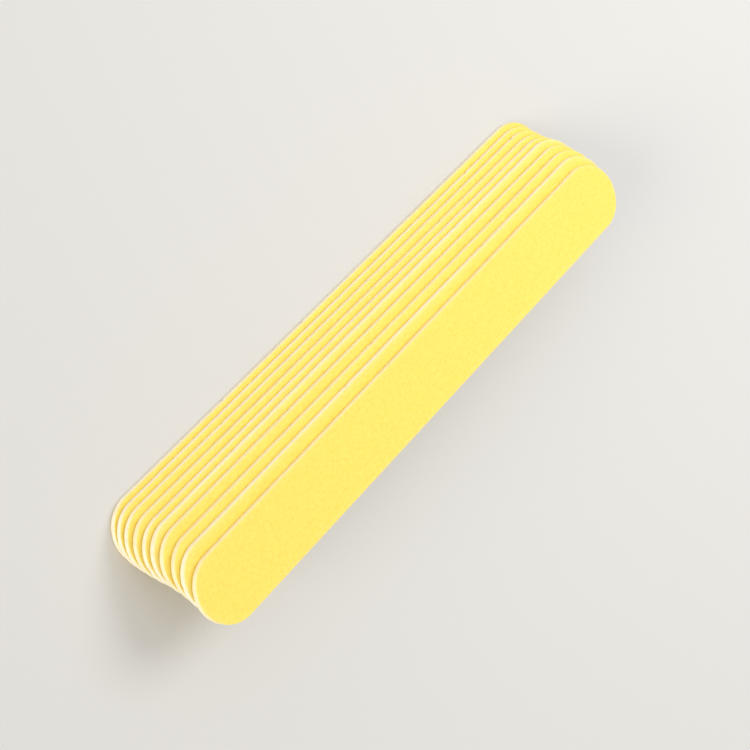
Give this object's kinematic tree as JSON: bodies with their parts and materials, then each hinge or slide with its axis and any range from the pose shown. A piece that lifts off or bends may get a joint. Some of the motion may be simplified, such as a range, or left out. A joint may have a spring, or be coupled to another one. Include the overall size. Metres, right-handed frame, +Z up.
{
  "type": "emery board set",
  "caption": "Fanned stack of loose flat nail files with full-round ends, each a thin wood core between yellow abrasive sheets, sliding sideways on the one beneath.",
  "frame": {"origin": "on the surface the stack lies on, below the middle of the fan", "axes": "+X along the boards, +Y from the top board towards the side where the lower boards show, +Z up"},
  "size_m": [0.1788, 0.0375, 0.02],
  "materials": {
    "core_wood": "die-cut bare basswood",
    "glue_film": "dried laminating glue",
    "abrasive_sheet": "yellow fine-grit coated paper"
  },
  "bodies": {
    "board_01": {"board_01_lower_abrasive_sheet": "abrasive_sheet", "board_01_lower_glue_film": "glue_film", "board_01_core": "core_wood", "board_01_upper_glue_film": "glue_film", "board_01_upper_abrasive_sheet": "abrasive_sheet"},
    "board_02": {"board_02_lower_abrasive_sheet": "abrasive_sheet", "board_02_lower_glue_film": "glue_film", "board_02_core": "core_wood", "board_02_upper_glue_film": "glue_film", "board_02_upper_abrasive_sheet": "abrasive_sheet"},
    "board_03": {"board_03_lower_abrasive_sheet": "abrasive_sheet", "board_03_lower_glue_film": "glue_film", "board_03_core": "core_wood", "board_03_upper_glue_film": "glue_film", "board_03_upper_abrasive_sheet": "abrasive_sheet"},
    "board_04": {"board_04_lower_abrasive_sheet": "abrasive_sheet", "board_04_lower_glue_film": "glue_film", "board_04_core": "core_wood", "board_04_upper_glue_film": "glue_film", "board_04_upper_abrasive_sheet": "abrasive_sheet"},
    "board_05": {"board_05_lower_abrasive_sheet": "abrasive_sheet", "board_05_lower_glue_film": "glue_film", "board_05_core": "core_wood", "board_05_upper_glue_film": "glue_film", "board_05_upper_abrasive_sheet": "abrasive_sheet"},
    "board_06": {"board_06_lower_abrasive_sheet": "abrasive_sheet", "board_06_lower_glue_film": "glue_film", "board_06_core": "core_wood", "board_06_upper_glue_film": "glue_film", "board_06_upper_abrasive_sheet": "abrasive_sheet"},
    "board_07": {"board_07_lower_abrasive_sheet": "abrasive_sheet", "board_07_lower_glue_film": "glue_film", "board_07_core": "core_wood", "board_07_upper_glue_film": "glue_film", "board_07_upper_abrasive_sheet": "abrasive_sheet"},
    "board_08": {"board_08_lower_abrasive_sheet": "abrasive_sheet", "board_08_lower_glue_film": "glue_film", "board_08_core": "core_wood", "board_08_upper_glue_film": "glue_film", "board_08_upper_abrasive_sheet": "abrasive_sheet"},
    "board_09": {"board_09_lower_abrasive_sheet": "abrasive_sheet", "board_09_lower_glue_film": "glue_film", "board_09_core": "core_wood", "board_09_upper_glue_film": "glue_film", "board_09_upper_abrasive_sheet": "abrasive_sheet"},
    "board_10": {"board_10_lower_abrasive_sheet": "abrasive_sheet", "board_10_lower_glue_film": "glue_film", "board_10_core": "core_wood", "board_10_upper_glue_film": "glue_film", "board_10_upper_abrasive_sheet": "abrasive_sheet"}
  },
  "joints": [
    {"name": "board_02_slide", "type": "slide", "parent": "board_01", "child": "board_02", "axis": [0, 1, 0], "range_m": [-0.00055, 0.0015]},
    {"name": "board_03_slide", "type": "slide", "parent": "board_02", "child": "board_03", "axis": [0, 1, 0], "range_m": [-0.00115, 0.0015]},
    {"name": "board_04_slide", "type": "slide", "parent": "board_03", "child": "board_04", "axis": [0, 1, 0], "range_m": [-0.0017, 0.0018]},
    {"name": "board_05_slide", "type": "slide", "parent": "board_04", "child": "board_05", "axis": [0, 1, 0], "range_m": [-0.00255, 0.0016]},
    {"name": "board_06_slide", "type": "slide", "parent": "board_05", "child": "board_06", "axis": [0, 1, 0], "range_m": [-0.0031, 0.0013]},
    {"name": "board_07_slide", "type": "slide", "parent": "board_06", "child": "board_07", "axis": [0, 1, 0], "range_m": [-0.0032, 0.0022]},
    {"name": "board_08_slide", "type": "slide", "parent": "board_07", "child": "board_08", "axis": [0, 1, 0], "range_m": [-0.00415, 0.0025]},
    {"name": "board_09_slide", "type": "slide", "parent": "board_08", "child": "board_09", "axis": [0, 1, 0], "range_m": [-0.0053, 0.00225]},
    {"name": "board_10_slide", "type": "slide", "parent": "board_09", "child": "board_10", "axis": [0, 1, 0], "range_m": [-0.00585, 0.0034]}
  ]
}
